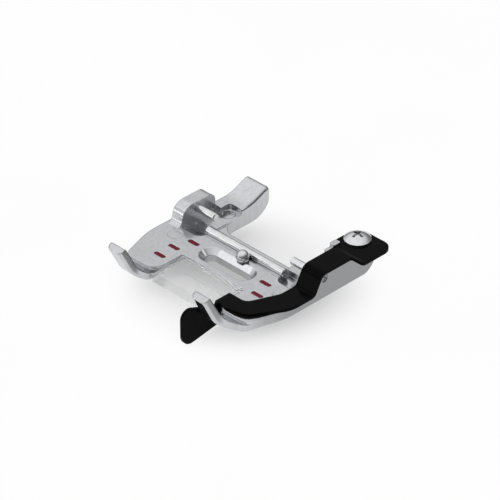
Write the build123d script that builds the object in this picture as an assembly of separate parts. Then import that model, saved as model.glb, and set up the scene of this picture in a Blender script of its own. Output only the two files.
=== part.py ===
from build123d import *
import os
from math import cos, radians, sin, sqrt

# Seam presser foot with a quarter inch guide on its right-hand side.
# Sizes are in millimetres. They are set out from the needle point on the deck's top:
# +X is the sewer's right, +Y is the rear and +Z is up.

# Deck of the casting
deck_thickness = 2.1
half_width = 16.0
deck_rear = 5.85
side_turn_y = -3.2
side_turn_radius = 14.0
edge_radius = 0.65

# Lobes beside the window and the toes in front of them
window_half_width = 7.1
window_rear = -3.6
window_corner_radius = 0.4
lobe_front = -10.0
lobe_corner_inset = 2.2
lobe_inner_radius = 2.3
lobe_outer_radius = 1.5
toe_inner = 8.1
toe_width = 3.15
toe_thickness = 1.4
toe_angle = 63.0
toe_bend_y = -12.66
toe_bend_radius = 6.3
toe_length = 8.3
toe_flare_y = -12.7
toe_flare_radius = 3.0
toe_root_y = -11.2
toe_root_radius = 1.0
toe_neck_y = -13.0
toe_neck_radius = 2.0
toe_corner_radius = 0.8
toe_lip_radius = 0.4

# Needle slot
slot_length = 9.8
slot_width = 2.4
slot_y = -0.4
slot_bevel_width = 0.95
slot_bevel_depth = 0.95

# Ears that carry the stub pins
ear_thickness = 2.9
ear_top = 3.3
ear_front = 1.9
ear_lean = 0.5
ear_front_radius = 2.4
ear_rear = 9.6
ear_rear_radius = 1.5
ear_edge_chamfer = 0.5
ear_foot_radius = 1.2
ear_corner_radius = 1.2

# Rear arms on both sides of the gap for the upper feed
arm_inner = 8.2
arm_tip_y = 17.85
arm_curl_radius = 4.5
arm_fillet_radius = 3.0
left_tip_top = 3.5
left_tip_radius = 1.0
left_tip_corner_radius = 0.7
ramp_length = 4.85
ramp_top = 1.45
ramp_radius = 8.0
ramp_overlap = 0.7
arm_ridge_radius = 0.8
floor_top = 0.35
floor_front = 5.0
floor_rear = 11.0
floor_side = 11.0
floor_corner_radius = 0.5
right_arm_inner = 9.9
right_arm_step_y = 7.6
arm_step_rise = 0.6
arm_step_radius = 0.45
right_block_width = 4.7
right_block_front = 10.4
right_tip_radius = 0.6

# Pockets in the deck at the ends of the front pin
pocket_front = 1.7
pocket_width = 4.5
pocket_depth = 0.7
pocket_corner_radius = 1.5

# Pins and ball
front_pin_diameter = 1.46
front_pin_overhang = 0.32
front_pin_y = 3.89
front_pin_z = 0.39
stub_diameter = 1.4
stub_free_length = 4.3
stub_recess = 0.5
stub_y = 5.64
stub_z = 1.98
pin_chamfer = 0.15
ball_diameter = 2.3
ball_x = 1.05
ball_z = 0.75

# Clear window
window_front = -10.4
window_top = -0.55
window_lip_top = -0.12
window_lip_width = 1.25
window_flange = 0.9
window_flange_thickness = 0.9
window_front_chamfer = 0.4
window_notch_radius = 0.3
window_line_y = -6.6
window_line_left = -3.5
window_line_right = 5.4
window_line_width = 0.22
window_line_depth = 0.12

# Seam guide of spring steel sheet
seam_allowance = 6.35
guide_thickness = 0.5
guide_overhang = 0.75
guide_width = 4.1
guide_neck_front = -9.4
guide_neck_rear = -6.45
guide_front = -9.8
guide_front_x = 9.0
guide_outer_inset = 3.1
guide_outer_y = -9.0
guide_outer_turn_y = -2.6
guide_inner_x = 10.3
guide_inner_turn_y = -0.9
guide_foot_y = 2.7
guide_crest_y = 4.5
guide_foot_radius = 0.7
guide_crest_radius = 1.3
guide_joggle = 0.25
guide_joggle_y = 11.0
guide_joggle_run = 0.8
guide_joggle_radius = 0.4
guide_front_radius = 1.0
guide_outer_radius = 2.5
guide_turn_radius = 6.0
guide_neck_radius = 1.6
tab_width = 8.0
tab_side_overhang = 3.1
tab_rear_overhang = 0.55
tab_right_front = 11.0
tab_left_front = 12.9
tab_corner_radius = 2.0
tab_front_radius = 0.4
tab_shoulder_radius = 0.7
tab_nook_radius = 0.2
fold_radius = 0.45

# Fin that hangs from the guide as the fence for the cloth's edge
fin_front = -17.1
fin_front_top = 2.5
fin_front_bottom = -5.2
fin_neck_z = -0.6
fin_heel_y = -8.2
fin_heel_z = -3.9
fin_rear_z = -1.8
fin_top_radius = 1.6
fin_bottom_radius = 2.0
fin_heel_radius = 1.2
fin_neck_radius = 0.5
fin_rear_radius = 0.9

# Nub that keeps the guide from turning, and the screw that clamps it
nub_length = 1.6
nub_width = 1.1
nub_height = 0.95
nub_radius = 0.3
screw_inset = 2.4
screw_setback = 2.15
screw_diameter = 2.0
screw_length = 3.2
screw_head_diameter = 4.6
screw_head_edge = 0.35
screw_dome = 0.85
screw_recess_width = 0.5
screw_recess_span = 2.3
screw_recess_depth = 0.75

# Engraved marks with paint, and round moulding marks
mark_length = 2.3
mark_width = 0.85
mark_corner = 0.25
mark_depth = 0.2
paint_drop = 0.05
mark_pitch = 3.175
mark_reach = 9.6
needle_mark_reach = 8.28
ejector_diameter = 2.6
ejector_depth = 0.06
deck_ejector_x = 12.2
deck_ejector_y = -0.45
floor_ejector_x = -10.0
floor_ejector_y = 9.5

# Clearances
press_gap = 0.02
seat_gap = 0.05
window_gap = 0.06
fin_gap = 0.25

# Worked out from the sizes above
sole = -deck_thickness
ear_inner = half_width - ear_thickness
lobe_corner_x = half_width - lobe_corner_inset
toe_outer = toe_inner + toe_width
pocket_side = ear_inner - pocket_width
front_pin_radius = front_pin_diameter / 2
front_pin_length = 2 * (pocket_side + front_pin_overhang)
ball_radius = ball_diameter / 2
ball_seat_radius = sqrt(ball_radius ** 2 - ball_z ** 2) + press_gap
right_block_top = ear_top - guide_joggle
right_block_inner = half_width - right_block_width
guide_right = half_width + guide_overhang
guide_left = guide_right - guide_width
guide_outer_x = half_width - guide_outer_inset
tab_right = half_width + tab_side_overhang
tab_left = tab_right - tab_width
tab_rear = arm_tip_y + tab_rear_overhang
screw_x = half_width - screw_inset
screw_y = arm_tip_y - screw_setback
reach = 4 * half_width
margin = deck_thickness / 2

# A face whose normal rises or drops by more than this share is a top or an underside.
upright_lean = 0.2


def outline(corners):
    """Closed face whose corners are (across, up, radius)."""
    points = [(corner[0], corner[1]) for corner in corners]
    radii = [corner[2] for corner in corners]
    return make_face(FilletPolyline(*points, radius=radii, close=True))


def slab(corners, bottom, top):
    """Plan outline given as (x, y, radius) corners, standing from bottom to top."""
    return Pos(0, 0, bottom) * extrude(outline(corners), amount=top - bottom)


def side_slab(corners, left, right):
    """Side outline given as (y, z, radius) corners, running from left to right."""
    return extrude(Plane.YZ.offset(left) * outline(corners), amount=right - left)


def sheet(stations, thickness):
    """Corners of a sheet of even thickness that lies on (across, up, bend radius) stations."""
    points = [Vector(station[0], station[1]) for station in stations]
    runs = [(after - before).normalized() for before, after in zip(points, points[1:])]
    normals = [Vector(-run.Y, run.X) for run in runs]
    lower = [(points[0].X, points[0].Y, 0)]
    first = points[0] + normals[0] * thickness
    last = points[-1] + normals[-1] * thickness
    upper = [(first.X, first.Y, 0)]
    for index in range(1, len(points) - 1):
        before = normals[index - 1]
        after = normals[index]
        mitre = (before + after) * (thickness / (1 + before.dot(after)))
        raised = points[index] + mitre
        bend = stations[index][2]
        turns_up = runs[index - 1].cross(runs[index]).Z > 0
        lower_radius = bend + thickness if turns_up else bend
        upper_radius = bend if turns_up else bend + thickness
        lower.append((points[index].X, points[index].Y, lower_radius))
        upper.append((raised.X, raised.Y, upper_radius))
    lower.append((points[-1].X, points[-1].Y, 0))
    upper.append((last.X, last.Y, 0))
    return lower + upper[::-1]


def mirrored(corners):
    """The same plan corners on the other side of the needle line."""
    return [(-x, y, radius) for x, y, radius in corners]


def sole_profile():
    """Underside seen from the right: up the toes and along the sole to the rear ends."""
    front = toe_point(toe_length + reach)
    return [
        (front.X, front.Y, 0),
        (toe_bend_y, sole, toe_bend_radius),
        (arm_tip_y, sole, 0),
        (arm_tip_y, front.Y, 0),
    ]


def curled_end_profile():
    """Everything above the sole and in front of the curled rear ends, seen from the right."""
    return [
        (-reach, sole, 0),
        (arm_tip_y, sole, arm_curl_radius),
        (arm_tip_y, reach, 0),
        (-reach, reach, 0),
    ]


def toe_point(distance):
    """Point on the line of the toe's underside, measured from where it leaves the sole."""
    angle = radians(toe_angle)
    return Vector(toe_bend_y - distance * cos(angle), sole + distance * sin(angle))


def hull_solid():
    """Everything that lies inside the casting's plan and above its rounded underside."""
    tip = toe_point(toe_length)
    half = [
        (window_half_width, window_rear, window_corner_radius),
        (window_half_width, toe_root_y, toe_root_radius),
        (toe_inner, toe_neck_y, toe_neck_radius),
        (toe_inner, tip.X, toe_corner_radius),
        (toe_outer, tip.X, toe_corner_radius),
        (toe_outer, toe_flare_y, toe_flare_radius),
        (lobe_corner_x, lobe_front, lobe_outer_radius),
        (half_width, side_turn_y, side_turn_radius),
    ]
    right_rear = [
        (half_width, arm_tip_y, 0),
        (right_arm_inner, arm_tip_y, 0),
        (right_arm_inner, right_arm_step_y, arm_step_radius),
        (arm_inner, right_arm_step_y - arm_step_rise, arm_step_radius),
        (arm_inner, deck_rear, arm_step_radius),
    ]
    left_rear = [
        (-arm_inner, deck_rear, arm_fillet_radius),
        (-arm_inner, arm_tip_y, 0),
        (-ear_inner, arm_tip_y, left_tip_corner_radius),
        (-ear_inner, ear_rear, ear_corner_radius),
        (-half_width, ear_rear, ear_corner_radius),
    ]
    plan = half + right_rear + left_rear + mirrored(half)[::-1]
    hull = side_slab(sole_profile(), -reach, reach) & slab(plan, sole - margin, reach)
    outer = [edge for edge in lower_rim(hull) if not (is_in_bay(edge) or is_in_gap(edge) or is_at_tip(edge))]
    return hull.fillet(edge_radius, outer) & side_slab(curled_end_profile(), -reach, reach)


def lower_rim(solid):
    """Edges where the underside of a solid meets its upright sides."""
    under = [face for face in solid.faces() if face.normal_at(face.center()).Z < -upright_lean]
    edges = [edge for face in under for edge in face.edges()]
    return [edge for edge in edges if sum(edge.is_same(other) for other in edges) == 1]


def upper_rim(solid):
    """Edges where the top of a solid meets its upright sides."""
    tops = [face for face in solid.faces() if face.normal_at(face.center()).Z > upright_lean]
    edges = [edge for face in tops for edge in face.edges()]
    return [edge for edge in edges if sum(edge.is_same(other) for other in edges) == 1]


def is_in_bay(edge):
    """True for an edge beside the window."""
    middle = edge.center()
    return abs(middle.X) < window_half_width + seat_gap and middle.Y < window_rear + seat_gap


def is_in_gap(edge):
    """True for an edge of the gap between the rear arms."""
    middle = edge.center()
    return -arm_inner - seat_gap < middle.X < right_arm_inner + seat_gap and middle.Y > front_pin_y


def is_at_tip(edge):
    """True for an edge across the rear end of an arm."""
    return edge.center().Y > arm_tip_y - seat_gap


def deck_solid(hull):
    """Flat deck with its two lobes and the roots of the rear arms."""
    lobe = [
        (window_half_width, window_rear, window_corner_radius),
        (window_half_width, lobe_front, lobe_inner_radius),
        (lobe_corner_x, lobe_front, lobe_outer_radius),
        (half_width, side_turn_y, side_turn_radius),
        (half_width, floor_rear, 0),
    ]
    gap = [
        (right_arm_inner, floor_rear, 0),
        (right_arm_inner, deck_rear, 0),
        (-arm_inner, deck_rear, arm_fillet_radius),
        (-arm_inner, floor_rear, 0),
    ]
    return slab(lobe + gap + mirrored(lobe)[::-1], sole - margin, 0) & hull


def toe_solid(hull):
    """Right toe: a tongue that runs on from the sole and curls up in front of its lobe."""
    tip = toe_point(toe_length)
    stations = [
        (tip.X, tip.Y, 0),
        (toe_bend_y, sole, toe_bend_radius - toe_thickness),
        (side_turn_y, sole, 0),
    ]
    tongue = side_slab(sheet(stations, toe_thickness), window_half_width, half_width) & hull
    lip = tongue.edges().filter_by(Axis.X).sort_by(Axis.Z)[-1]
    return tongue.fillet(toe_lip_radius, [lip])


def floor_solids(hull):
    """Low floors of the rear arms, behind the front pin."""
    outer = half_width - ear_thickness / 2
    plan = [
        (arm_inner, floor_front, 0),
        (outer, floor_front, 0),
        (outer, floor_rear, 0),
        (arm_inner, floor_rear, 0),
    ]
    right = slab(plan, sole / 2, floor_top) & hull
    left = slab(mirrored(plan)[::-1], sole / 2, floor_top) & hull
    return left + right


def pocket_cutter(outer):
    """Pocket in front of the right arm's floor that frees the end of the front pin."""
    plan = [
        (pocket_side, pocket_front, pocket_corner_radius),
        (outer, pocket_front, floor_corner_radius),
        (outer, floor_front, 0),
        (pocket_side, floor_front, 0),
    ]
    return slab(plan, -pocket_depth, reach)


def left_ear_solid(hull):
    """Arched wall on the left that carries the left stub pin."""
    foot = ear_front - ear_foot_radius
    profile = [
        (foot, sole / 2, 0),
        (foot, 0, 0),
        (ear_front, 0, ear_foot_radius),
        (ear_front + ear_lean, ear_top, ear_front_radius),
        (ear_rear, ear_top, ear_rear_radius),
        (ear_rear, sole / 2, 0),
    ]
    wall = side_slab(profile, -half_width, -ear_inner)
    broken = [edge for edge in wall.faces().sort_by(Axis.X)[0].edges() if edge.center().Z > 0]
    return chamfer(broken, ear_edge_chamfer) & hull


def right_ear_solid(hull):
    """Wall on the right under the guide, from its sloping front to the screw block."""
    slope = (guide_crest_y - guide_foot_y) / ear_top
    profile = [
        (guide_foot_y + seat_gap + slope * sole / 2, sole / 2, 0),
        (guide_crest_y + seat_gap, ear_top, guide_crest_radius),
        (guide_joggle_y - seat_gap, ear_top, 0),
        (guide_joggle_y - seat_gap, sole / 2, 0),
    ]
    return side_slab(profile, ear_inner, half_width) & hull


def left_arm_solid(hull):
    """Left arm with its ramp, its curled end and the sunk floor beside the ear."""
    start = ear_rear - ramp_overlap
    profile = [
        (start, sole - margin, 0),
        (arm_tip_y, sole - margin, 0),
        (arm_tip_y, left_tip_top, left_tip_radius),
        (arm_tip_y - ramp_length, ramp_top, ramp_radius),
        (start, ramp_top, 0),
    ]
    arm = side_slab(profile, -ear_inner, -arm_inner)
    ridge = [edge for edge in upper_rim(arm) if edge.center().X > -arm_inner - seat_gap]
    arm = arm.fillet(arm_ridge_radius, ridge) & hull
    sunk = [
        (-floor_side, pocket_front, 0),
        (-floor_side, floor_rear, floor_corner_radius),
        (0, floor_rear, 0),
        (0, pocket_front, 0),
    ]
    return arm - slab(sunk, floor_top, reach)


def right_arm_solid(hull):
    """Right arm with a level block under the guide's tab."""
    profile = [
        (right_block_front, sole - margin, 0),
        (arm_tip_y, sole - margin, 0),
        (arm_tip_y, right_block_top, right_tip_radius),
        (right_block_front, right_block_top, 0),
    ]
    arm = side_slab(profile, right_arm_inner, half_width) & hull
    sunk = [
        (0, pocket_front, 0),
        (right_block_inner, pocket_front, 0),
        (right_block_inner, reach, 0),
        (0, reach, 0),
    ]
    return arm - slab(sunk, floor_top, reach)


def nub_solid():
    """Cast nub in the corner between the guide's strip and the left shoulder of its tab."""
    left = guide_left - seat_gap - nub_width
    rear = tab_left_front - seat_gap
    plan = [
        (left, rear - nub_length, nub_radius),
        (left + nub_width, rear - nub_length, nub_radius),
        (left + nub_width, rear, nub_radius),
        (left, rear, nub_radius),
    ]
    return slab(plan, floor_top, right_block_top + nub_height)


def slot_cutter():
    """Needle slot: a straight-sided slot under a wide bevel."""
    bevel_length = slot_length + 2 * slot_bevel_width
    bevel_height = slot_width + 2 * slot_bevel_width
    wide = Pos(0, slot_y, 0) * SlotOverall(bevel_length, bevel_height)
    narrow = Pos(0, slot_y, -slot_bevel_depth) * SlotOverall(slot_length, slot_width)
    through = extrude(narrow, amount=sole - margin)
    return loft([wide.face(), narrow.face()]) + through


def mark_places():
    """Centres of the painted marks: at the needle and one and two pitches in front of it."""
    left = [(-mark_reach, -2 * mark_pitch), (-mark_reach, -mark_pitch), (-needle_mark_reach, 0)]
    right = [(mark_reach, -mark_pitch), (needle_mark_reach, 0)]
    return left + right


def mark_bars(bottom, top, shrink):
    """Short bars with cut corners at the marks."""
    mark = Rectangle(mark_length - 2 * shrink, mark_width - 2 * shrink)
    bar = extrude(chamfer(mark.vertices(), mark_corner), amount=top - bottom)
    return [Pos(x, y, bottom) * bar for x, y in mark_places()]


def ejector_cutters():
    """Shallow round moulding marks on the deck and on the left arm's floor."""
    disc = extrude(Circle(ejector_diameter / 2), amount=margin)
    return [
        Pos(-deck_ejector_x, deck_ejector_y, -ejector_depth) * disc,
        Pos(deck_ejector_x, deck_ejector_y, -ejector_depth) * disc,
        Pos(floor_ejector_x, floor_ejector_y, floor_top - ejector_depth) * disc,
    ]


def cross_pin(diameter, left, right, y, z, grow=0.0):
    """Round bar along X."""
    return extrude(Plane.YZ.offset(left) * Pos(y, z) * Circle(diameter / 2 + grow), amount=right - left)


def ball_centre():
    """The ball lies against the front of the cross pin, sunk a little into the deck."""
    rise = ball_z - front_pin_z
    span = sqrt((ball_radius + front_pin_radius + press_gap) ** 2 - rise ** 2)
    return Pos(ball_x, front_pin_y - span, ball_z)


def window_plate(gap):
    """Plate that fills the bay between the lobes, with a flange under their edges."""
    half = window_half_width - gap
    flange = half + window_flange
    rear = window_rear - gap
    flange_top = sole + window_flange_thickness - gap
    notch = seam_allowance - fin_gap
    body = [
        (window_rear - gap, sole, 0),
        (window_rear - gap, window_lip_top, 0),
        (window_rear - window_lip_width, window_top, 0),
        (window_front + window_front_chamfer, window_top, 0),
        (window_front, window_top - window_front_chamfer, 0),
        (window_front, sole, 0),
    ]
    ledge = [
        (-flange, lobe_front + lobe_inner_radius, 0),
        (-flange, rear + window_flange, 0),
        (flange, rear + window_flange, 0),
        (flange, guide_neck_rear + fin_gap + gap, 0),
        (notch, guide_neck_rear + fin_gap + gap, 0),
        (notch, lobe_front + lobe_inner_radius, 0),
    ]
    fin_room = [
        (notch, window_front - margin, 0),
        (notch, guide_neck_rear + fin_gap, window_notch_radius),
        (half + margin, guide_neck_rear + fin_gap, 0),
        (half + margin, window_front - margin, 0),
    ]
    bay = [
        (-half, window_front, 0),
        (half, window_front, 0),
        (half, rear, window_corner_radius),
        (-half, rear, window_corner_radius),
    ]
    plate = side_slab(body, -half, half) & slab(bay, sole, reach)
    plate = plate - slab(fin_room, sole - margin, margin)
    return plate + slab(ledge, sole, flange_top)


def clear_window():
    """Clear plastic plate with a raised rear lip and one sighting line."""
    line = [
        (window_line_left, window_line_y - window_line_width / 2, 0),
        (window_line_right, window_line_y - window_line_width / 2, 0),
        (window_line_right, window_line_y + window_line_width / 2, 0),
        (window_line_left, window_line_y + window_line_width / 2, 0),
    ]
    return window_plate(window_gap) - slab(line, window_top - window_line_depth, 0)


def window_rebate():
    """Recess under the lobes and the deck that takes the window's flange."""
    flange = window_half_width + window_flange
    ledge = [
        (-flange, lobe_front + lobe_inner_radius - window_gap, 0),
        (-flange, window_rear + window_flange, 0),
        (flange, window_rear + window_flange, 0),
        (flange, guide_neck_rear + fin_gap, 0),
        (0, guide_neck_rear + fin_gap, 0),
        (0, lobe_front + lobe_inner_radius - window_gap, 0),
    ]
    return slab(ledge, sole - margin, sole + window_flange_thickness)


def guide_screw():
    """Domed screw with a cross recess, down through the tab into the block."""
    seat = right_block_top + guide_thickness
    head_radius = screw_head_diameter / 2
    dome_radius = (head_radius ** 2 + screw_dome ** 2) / (2 * screw_dome)
    edge = extrude(Circle(head_radius), amount=screw_head_edge)
    dome = Pos(0, 0, screw_head_edge + screw_dome - dome_radius) * Sphere(dome_radius)
    dome = dome & (Pos(0, 0, screw_head_edge) * extrude(Circle(head_radius), amount=screw_dome + margin))
    shank = Pos(0, 0, -screw_length) * extrude(Circle(screw_diameter / 2), amount=screw_length)
    screw = edge + dome + shank
    recess = Pos(0, 0, screw_head_edge + screw_dome - screw_recess_depth / 2)
    blade = Box(screw_recess_span, screw_recess_width, screw_recess_depth)
    cross = blade + Rot(0, 0, 90) * blade
    return Pos(screw_x, screw_y, seat) * (screw - recess * cross)


def foot_body():
    """The whole casting."""
    hull = hull_solid()
    toe = toe_solid(hull)
    deck = deck_solid(hull) - pocket_cutter(guide_left - fin_gap) - mirror(pocket_cutter(ear_inner), Plane.YZ)
    body = deck + toe + mirror(toe, Plane.YZ) + floor_solids(hull)
    body = body + left_ear_solid(hull) + right_ear_solid(hull)
    body = body + left_arm_solid(hull) + right_arm_solid(hull) + nub_solid()
    body = body - slot_cutter() - window_rebate()
    body = body - mark_bars(-mark_depth, margin, 0) - ejector_cutters()
    pin_end = front_pin_length / 2 + press_gap
    body = body - cross_pin(front_pin_diameter, -pin_end, pin_end, front_pin_y, front_pin_z, press_gap)
    body = body - cross_pin(stub_diameter, ear_inner, reach, stub_y, stub_z, press_gap)
    body = body - cross_pin(stub_diameter, -reach, -ear_inner, stub_y, stub_z, press_gap)
    body = body - ball_centre() * extrude(Circle(ball_seat_radius), amount=-ball_radius - press_gap)
    hole_depth = screw_length - guide_thickness + seat_gap
    hole = extrude(Circle(screw_diameter / 2 + press_gap), amount=hole_depth)
    return body - Pos(screw_x, screw_y, right_block_top - hole_depth) * hole


def front_pin():
    """Cross rod that the machine's holder snaps onto."""
    rod = cross_pin(front_pin_diameter, -front_pin_length / 2, front_pin_length / 2, front_pin_y, front_pin_z)
    return chamfer(rod.edges().filter_by(GeomType.CIRCLE), pin_chamfer)


def right_stub_pin():
    """Plain pin in the right ear, with a free end over the arm and its outer end sunk in the hole."""
    left = ear_inner - stub_free_length
    bar = cross_pin(stub_diameter, left, half_width - stub_recess, stub_y, stub_z)
    return chamfer(bar.edges().filter_by(GeomType.CIRCLE).sort_by(Axis.X)[0], pin_chamfer)


def left_stub_pin():
    """The same pin on the left."""
    return mirror(right_stub_pin(), Plane.YZ)


def locating_ball():
    """Polished ball."""
    return ball_centre() * Sphere(ball_radius)


def fold_cutter():
    """What the round of the fold takes off the corner between the strip and the fin."""
    run = guide_neck_rear - guide_front
    corner = Box(fold_radius, run, fold_radius, align=(Align.MIN, Align.MIN, Align.MAX))
    corner = Pos(seam_allowance, guide_front, guide_thickness) * corner
    bar = Rot(90, 0, 0) * Cylinder(fold_radius, reach)
    return corner - Pos(seam_allowance + fold_radius, 0, guide_thickness - fold_radius) * bar


def seam_guide():
    """Bent strip on the right lobe, over the ear and under the screw, with its hanging fin."""
    stations = [
        (guide_front - margin, 0, 0),
        (guide_foot_y, 0, guide_foot_radius),
        (guide_crest_y, ear_top, guide_crest_radius),
        (guide_joggle_y, ear_top, guide_joggle_radius),
        (guide_joggle_y + guide_joggle_run, right_block_top, guide_joggle_radius),
        (tab_rear + margin, right_block_top, 0),
    ]
    plan = [
        (seam_allowance, guide_neck_front, 0),
        (guide_front_x, guide_front, guide_front_radius),
        (guide_outer_x, guide_outer_y, guide_outer_radius),
        (guide_right, guide_outer_turn_y, guide_turn_radius),
        (guide_right, tab_right_front, tab_front_radius),
        (tab_right, tab_right_front, tab_front_radius),
        (tab_right, tab_rear, tab_corner_radius),
        (tab_left, tab_rear, tab_corner_radius),
        (tab_left, tab_left_front, tab_shoulder_radius),
        (guide_left, tab_left_front, tab_nook_radius),
        (guide_left, guide_inner_turn_y, guide_outer_radius),
        (guide_inner_x, guide_neck_rear, guide_neck_radius),
        (seam_allowance, guide_neck_rear, 0),
    ]
    strip = side_slab(sheet(stations, guide_thickness), seam_allowance, tab_right + margin)
    strip = strip & slab(plan, sole, reach)
    fin = [
        (guide_neck_rear, guide_thickness, 0),
        (guide_neck_front, guide_thickness, 0),
        (guide_neck_front, fin_neck_z, fin_neck_radius),
        (fin_front, fin_front_top, fin_top_radius),
        (fin_front, fin_front_bottom, fin_bottom_radius),
        (fin_heel_y, fin_heel_z, fin_heel_radius),
        (guide_neck_rear, fin_rear_z, fin_rear_radius),
    ]
    guide = strip + side_slab(fin, seam_allowance, seam_allowance + guide_thickness)
    hole = extrude(Circle(screw_diameter / 2 + press_gap), amount=reach)
    return guide - fold_cutter() - Pos(screw_x, screw_y, 0) * hole


def mark_paint():
    """Paint that fills the engraved marks, a little below the deck."""
    return Part() + mark_bars(press_gap - mark_depth, -paint_drop, press_gap)


pieces = {
    "foot_body": foot_body(),
    "clear_window": clear_window(),
    "front_pin": front_pin(),
    "left_stub_pin": left_stub_pin(),
    "right_stub_pin": right_stub_pin(),
    "locating_ball": locating_ball(),
    "seam_guide": seam_guide(),
    "guide_screw": guide_screw(),
    "mark_paint": mark_paint(),
}

# The finished foot is set on the middle of its front pin.
to_pin = Pos(0, -front_pin_y, -front_pin_z)
os.makedirs("parts", exist_ok=True)
for name, piece in pieces.items():
    export_step(to_pin * piece, "parts/" + name + ".step")
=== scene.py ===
import math

import bpy
from mathutils import Matrix, Vector


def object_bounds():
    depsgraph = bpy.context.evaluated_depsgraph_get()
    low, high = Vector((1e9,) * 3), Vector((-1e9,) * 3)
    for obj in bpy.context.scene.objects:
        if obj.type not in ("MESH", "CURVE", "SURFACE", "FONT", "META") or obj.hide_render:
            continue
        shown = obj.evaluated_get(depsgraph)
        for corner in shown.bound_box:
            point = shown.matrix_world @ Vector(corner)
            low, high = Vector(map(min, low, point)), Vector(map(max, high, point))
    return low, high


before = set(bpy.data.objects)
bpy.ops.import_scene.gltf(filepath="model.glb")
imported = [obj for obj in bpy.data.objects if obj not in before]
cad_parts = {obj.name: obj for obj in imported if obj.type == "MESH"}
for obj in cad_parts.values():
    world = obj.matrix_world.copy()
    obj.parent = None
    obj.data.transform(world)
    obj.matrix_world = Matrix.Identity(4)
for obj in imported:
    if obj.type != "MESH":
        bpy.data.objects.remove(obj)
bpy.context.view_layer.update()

MM = 0.001

# Where the photo was taken from, as seen from the needle point on the deck's top.
NEEDLE_POINT = Vector((0.0, -3.89, -0.39)) * MM
AZIMUTH = 45.23
ELEVATION = 33.84
DISTANCE = 500.0 * MM
AIM_RIGHT = 3.356 * MM
AIM_UP = 2.044 * MM
LENS = 222.5

# The room's light
BRIGHTEST_WAY = (-0.30, -0.10, 0.95)
ROOM_LIGHT = 1.15

# The casting's outer sides are this far from its middle.
SIDE_REACH = 16.0 * MM

# How the casting's edges are rounded, and how far in front of the pin its toes end.
EDGE_ROUND = 0.2 * MM
TOE_ROUND = 0.5 * MM
TOE_FRONT = -21.0 * MM

# The floor lies just under the fin, which hangs below the sole.
FLOOR_GAP = 0.02 * MM
SHADOW_REACH = 30.0 * MM
WHITE_NEAR = 0.3
WHITE_FAR = 0.97


class Graph:
    """A small helper that makes a node, sets its inputs and returns it."""

    def __init__(self, tree):
        self.tree = tree
        tree.nodes.clear()

    def add(self, kind, settings=None, **inputs):
        node = self.tree.nodes.new(kind)
        for name, value in (settings or {}).items():
            setattr(node, name, value)
        for name, value in inputs.items():
            self.put(node.inputs[name.replace("_", " ")], value)
        return node

    def put(self, socket, value):
        if isinstance(value, bpy.types.NodeSocket):
            self.tree.links.new(value, socket)
        else:
            socket.default_value = value

    def ramp(self, factor, stops, interpolation="LINEAR"):
        node = self.tree.nodes.new("ShaderNodeValToRGB")
        node.color_ramp.interpolation = interpolation
        elements = node.color_ramp.elements
        while len(elements) < len(stops):
            elements.new(0.5)
        for element, (place, level) in zip(elements, stops):
            element.position = place
            colour = level if isinstance(level, tuple) else (level, level, level)
            element.color = colour + (1.0,)
        self.tree.links.new(factor, node.inputs["Fac"])
        return node.outputs["Color"]

    def maths(self, operation, first, second):
        node = self.tree.nodes.new("ShaderNodeMath")
        node.operation = operation
        self.put(node.inputs[0], first)
        self.put(node.inputs[1], second)
        return node.outputs[0]

    def product(self, first, second):
        node = self.tree.nodes.new("ShaderNodeVectorMath")
        node.operation = "MULTIPLY"
        self.put(node.inputs[0], first)
        self.put(node.inputs[1], second)
        return node.outputs["Vector"]

    def mix(self, factor, first, second):
        node = self.tree.nodes.new("ShaderNodeMix")
        node.data_type = "RGBA"
        self.put(node.inputs[0], factor)
        self.put(node.inputs[6], first)
        self.put(node.inputs[7], second)
        return node.outputs[2]


def new_material(name):
    material = bpy.data.materials.new(name)
    material.use_nodes = True
    return material, Graph(material.node_tree)


def noise(graph, scale, detail=3.0, roughness=0.55, stretch=(1.0, 1.0, 1.0)):
    """Noise laid out in the part's own space, with the scale given in repeats per millimetre."""
    place = graph.product(graph.add("ShaderNodeTexCoord").outputs["Object"], stretch)
    node = graph.add("ShaderNodeTexNoise", Vector=place, Scale=scale / MM, Detail=detail, Roughness=roughness)
    return node.outputs["Fac"]


def surface(graph, shader, bump_height=None, strength=0.0, distance=0.0, edge=None):
    """Joins a shader to the output, with grain and, where edge is given, softly broken edges."""
    if bump_height is not None:
        bump = graph.add("ShaderNodeBump", Height=bump_height, Strength=strength, Distance=distance)
        if edge is not None:
            soft = graph.add("ShaderNodeBevel", {"samples": 10}, Radius=edge)
            graph.put(bump.inputs["Normal"], soft.outputs["Normal"])
        graph.put(shader.inputs["Normal"], bump.outputs["Normal"])
    output = graph.add("ShaderNodeOutputMaterial")
    graph.put(output.inputs["Surface"], shader.outputs[0])


def position(graph):
    """The three coordinates of a point in the part's own space."""
    place = graph.add("ShaderNodeTexCoord").outputs["Object"]
    return graph.add("ShaderNodeSeparateXYZ", Vector=place).outputs


def on_toes(graph):
    """One on the toes, which stand in front of the lobes, and else nought."""
    ahead = graph.maths("DIVIDE", position(graph)["Y"], TOE_FRONT)
    return graph.ramp(ahead, [(0.68, 0.0), (0.80, 1.0)])


def painted_shade_and_light_sides(graph):
    """Two masks of upright sides: one for painted shade, which darkens the toes' sides and the outer sides,
    one for painted light, which lifts the ears' inner sides.
    """
    facing = graph.add("ShaderNodeSeparateXYZ", Vector=graph.add("ShaderNodeNewGeometry").outputs["Normal"])
    upright = graph.ramp(graph.maths("ABSOLUTE", facing.outputs["X"], 0.0), [(0.88, 0.0), (0.99, 1.0)])
    away = graph.maths("DIVIDE", graph.maths("ABSOLUTE", position(graph)["X"], 0.0), SIDE_REACH)
    # Where painted shade goes: the outer sides and the toes.
    shade_painted_region = graph.maths("MAXIMUM", graph.ramp(away, [(0.86, 0.0), (0.93, 1.0)]), on_toes(graph))
    # Where painted light goes: a band of upright sides at the ears' inner sides.
    light_painted_region = graph.ramp(away, [(0.76, 0.0), (0.80, 1.0), (0.84, 1.0), (0.87, 0.0)])
    return graph.maths("MULTIPLY", upright, shade_painted_region), graph.maths("MULTIPLY", upright, light_painted_region)


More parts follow.
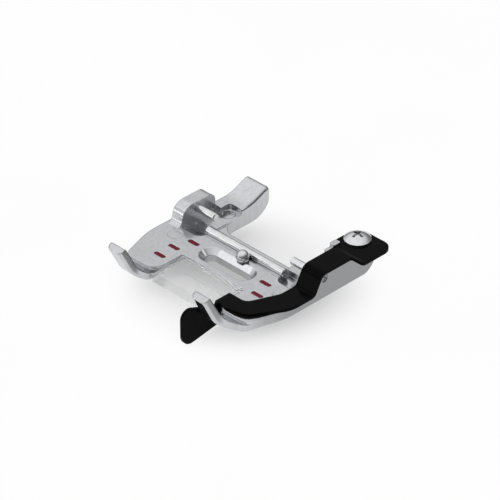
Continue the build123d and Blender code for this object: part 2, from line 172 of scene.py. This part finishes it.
def edge_round(graph):
    """How far the casting's edges are rounded, which is most on the toes."""
    more = graph.maths("MULTIPLY", on_toes(graph), TOE_ROUND - EDGE_ROUND)
    return graph.maths("ADD", more, EDGE_ROUND)


def plated_casting():
    """Satin plate on a casting: soft grey, a little cloudy, faintly brushed, with fine grain."""
    material, graph = new_material("plated_casting")
    cloud = noise(graph, 0.3, 4.0)
    grain = noise(graph, 7.0, 2.0)
    colour = graph.ramp(cloud, [(0.3, (0.55, 0.56, 0.58)), (0.7, (0.60, 0.61, 0.63))])
    rough = graph.ramp(cloud, [(0.3, 0.15), (0.7, 0.21)])
    brushed = graph.ramp(noise(graph, 1.6, 2.0, 0.5, (1.0, 1.0, 0.1)), [(0.3, 0.90), (0.7, 1.0)])
    colour = graph.product(colour, brushed)
    painted_shade_sides, painted_light_sides = painted_shade_and_light_sides(graph)
    # Painted shade: upright outer sides and toe sides get a darker grey for the shade they reflect.
    colour = graph.mix(painted_shade_sides, colour, (0.34, 0.343, 0.352, 1.0))
    # Painted light: the ears' inner sides get a lighter grey that lifts their shade.
    colour = graph.mix(painted_light_sides, colour, (0.68, 0.685, 0.71, 1.0))
    rough = graph.mix(painted_shade_sides, rough, (0.42, 0.42, 0.42, 1.0))
    rough = graph.mix(painted_light_sides, rough, (0.40, 0.40, 0.40, 1.0))
    shader = graph.add("ShaderNodeBsdfPrincipled", Base_Color=colour, Metallic=1.0, Roughness=rough)
    surface(graph, shader, grain, 0.02, 0.02 * MM, edge_round(graph))
    return material


def polished_steel(name, low, high):
    """Polished pin steel with a faint cloudiness."""
    material, graph = new_material(name)
    cloud = noise(graph, 0.9, 3.0)
    colour = graph.ramp(cloud, [(0.3, (0.58, 0.585, 0.595)), (0.7, (0.68, 0.685, 0.695))])
    rough = graph.ramp(cloud, [(0.3, low), (0.7, high)])
    shader = graph.add("ShaderNodeBsdfPrincipled", Base_Color=colour, Metallic=1.0, Roughness=rough)
    surface(graph, shader, noise(graph, 6.0, 2.0), 0.015, 0.01 * MM)
    return material


def black_sheet():
    """Satin black finish on spring steel."""
    material, graph = new_material("black_sheet")
    cloud = noise(graph, 0.5, 4.0)
    colour = graph.ramp(cloud, [(0.3, (0.0012, 0.0011, 0.0011)), (0.7, (0.0026, 0.0024, 0.0025))])
    rough = graph.ramp(cloud, [(0.3, 0.18), (0.7, 0.24)])
    shader = graph.add("ShaderNodeBsdfPrincipled", Base_Color=colour, Roughness=rough)
    graph.put(shader.inputs["Specular IOR Level"], 0.032)
    surface(graph, shader, noise(graph, 12.0, 2.0), 0.12, 0.015 * MM, 0.10 * MM)
    return material


def clear_plastic():
    """Clear moulded plastic, slightly frosted."""
    material, graph = new_material("clear_plastic")
    cloud = noise(graph, 0.45, 3.0)
    colour = graph.ramp(cloud, [(0.3, (0.95, 0.96, 0.97)), (0.7, (0.985, 0.99, 0.99))])
    rough = graph.ramp(cloud, [(0.3, 0.05), (0.7, 0.12)])
    shader = graph.add("ShaderNodeBsdfPrincipled", Base_Color=colour, Roughness=rough, IOR=1.30, Alpha=0.42)
    graph.put(shader.inputs["Transmission Weight"], 0.75)
    surface(graph, shader, noise(graph, 1.6, 2.0), 0.06, 0.02 * MM)
    return material


def red_paint():
    """Dark red fill with a thin, paler patchiness."""
    material, graph = new_material("red_paint")
    cloud = noise(graph, 2.2, 3.0)
    colour = graph.ramp(cloud, [(0.35, (0.13, 0.002, 0.014)), (0.72, (0.21, 0.005, 0.028))])
    rough = graph.ramp(cloud, [(0.3, 0.38), (0.7, 0.55)])
    shader = graph.add("ShaderNodeBsdfPrincipled", Base_Color=colour, Roughness=rough)
    graph.put(shader.inputs["Specular IOR Level"], 0.15)
    surface(graph, shader, cloud, 0.2, 0.03 * MM)
    return material


def pale_floor():
    """White sweep that the foot lies over. What is seen of it is part lit and part plain white."""
    material, graph = new_material("pale_floor")
    cloud = noise(graph, 0.02, 2.0)
    colour = graph.ramp(cloud, [(0.3, 0.97), (0.7, 0.985)])
    lit = graph.add("ShaderNodeBsdfDiffuse", Color=colour)
    white = graph.ramp(cloud, [(0.3, 0.985), (0.7, 1.0)])
    plain = graph.add("ShaderNodeEmission", Color=white, Strength=1.0)
    path = graph.add("ShaderNodeLightPath")
    seen = graph.maths("MAXIMUM", path.outputs["Is Camera Ray"], path.outputs["Is Glossy Ray"])
    seen = graph.maths("MAXIMUM", seen, path.outputs["Is Transmission Ray"])
    place = graph.add("ShaderNodeTexCoord").outputs["Object"]
    away = graph.add("ShaderNodeVectorMath", {"operation": "LENGTH"})
    graph.put(away.inputs[0], place)
    share = graph.maths("DIVIDE", away.outputs["Value"], SHADOW_REACH)
    fade = graph.ramp(share, [(0.3, WHITE_NEAR), (0.8, WHITE_FAR)], "EASE")
    mixed = graph.add("ShaderNodeMixShader", Fac=graph.maths("MULTIPLY", seen, fade))
    graph.put(mixed.inputs[1], lit.outputs[0])
    graph.put(mixed.inputs[2], plain.outputs[0])
    surface(graph, mixed)
    return material


def dress_nodes():
    """Gives every node its material; pins and ball share one."""
    casting = plated_casting()
    steel = polished_steel("polished_steel", 0.07, 0.11)
    screw = polished_steel("plated_screw", 0.08, 0.13)
    dress = {
        "foot_body": casting,
        "clear_window": clear_plastic(),
        "front_pin": steel,
        "left_stub_pin": steel,
        "right_stub_pin": steel,
        "locating_ball": steel,
        "seam_guide": black_sheet(),
        "guide_screw": screw,
        "mark_paint": red_paint(),
    }
    for name, material in dress.items():
        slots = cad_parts[name].data.materials
        slots.clear()
        slots.append(material)


def view_axes():
    """Unit vectors to the right, up and back towards the camera."""
    turn = math.radians(AZIMUTH)
    tilt = math.radians(ELEVATION)
    back = Vector((math.sin(turn) * math.cos(tilt), -math.cos(turn) * math.cos(tilt), math.sin(tilt)))
    right = Vector((math.cos(turn), math.sin(turn), 0.0))
    return right, back.cross(right), back


def add_camera():
    right, up, back = view_axes()
    data = bpy.data.cameras.new("photo_camera")
    data.lens = LENS
    data.sensor_width = 36.0
    data.clip_start = 0.01
    data.clip_end = 20.0
    camera = bpy.data.objects.new("photo_camera", data)
    bpy.context.scene.collection.objects.link(camera)
    turn = Matrix((right, up, back)).transposed().to_4x4()
    place = NEEDLE_POINT + right * AIM_RIGHT + up * AIM_UP + back * DISTANCE
    camera.matrix_world = Matrix.Translation(place) @ turn
    bpy.context.scene.camera = camera


def add_light(name, place, width, height, power):
    """Area light that looks at the middle of the frame."""
    data = bpy.data.lights.new(name, "AREA")
    data.shape = "RECTANGLE"
    data.size = width
    data.size_y = height
    data.energy = power
    light = bpy.data.objects.new(name, data)
    bpy.context.scene.collection.objects.link(light)
    spot = Vector(place)
    turn = (-spot).to_track_quat("-Z", "Y").to_matrix().to_4x4()
    light.matrix_world = Matrix.Translation(spot) @ turn


def add_floor():
    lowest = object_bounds()[0][2]
    bpy.ops.mesh.primitive_plane_add(size=3.0, location=(0.0, 0.0, lowest - FLOOR_GAP))
    floor = bpy.context.object
    floor.name = "floor"
    floor.data.materials.append(pale_floor())


def studio_world():
    """A soft room that is brightest overhead and dimmer to the right."""
    world = bpy.data.worlds.new("studio")
    world.use_nodes = True
    bpy.context.scene.world = world
    graph = Graph(world.node_tree)
    way = graph.add("ShaderNodeTexCoord").outputs["Generated"]
    facing = graph.add("ShaderNodeVectorMath", {"operation": "DOT_PRODUCT"})
    graph.put(facing.inputs[0], way)
    graph.put(facing.inputs[1], BRIGHTEST_WAY)
    place = graph.maths("ADD", graph.maths("MULTIPLY", facing.outputs["Value"], 0.5), 0.5)
    room = graph.ramp(place, [(0.42, 0.08), (0.66, 0.25), (0.82, 0.76), (0.94, 0.97)], "EASE")
    background = graph.add("ShaderNodeBackground", Color=room, Strength=ROOM_LIGHT)
    output = graph.add("ShaderNodeOutputWorld")
    graph.put(output.inputs["Surface"], background.outputs[0])


def set_view():
    """Plain display of the colours."""
    bpy.context.scene.view_settings.view_transform = "Standard"


dress_nodes()
add_camera()
studio_world()
add_floor()
add_light("key", (-0.19, -0.185, 0.195), 0.04, 0.04, 0.004)
add_light("rim", (0.186, 0.206, 0.197), 0.10, 0.10, 0.03)
add_light("front", (-0.207, -0.279, 0.055), 0.14, 0.07, 0.05)
set_view()
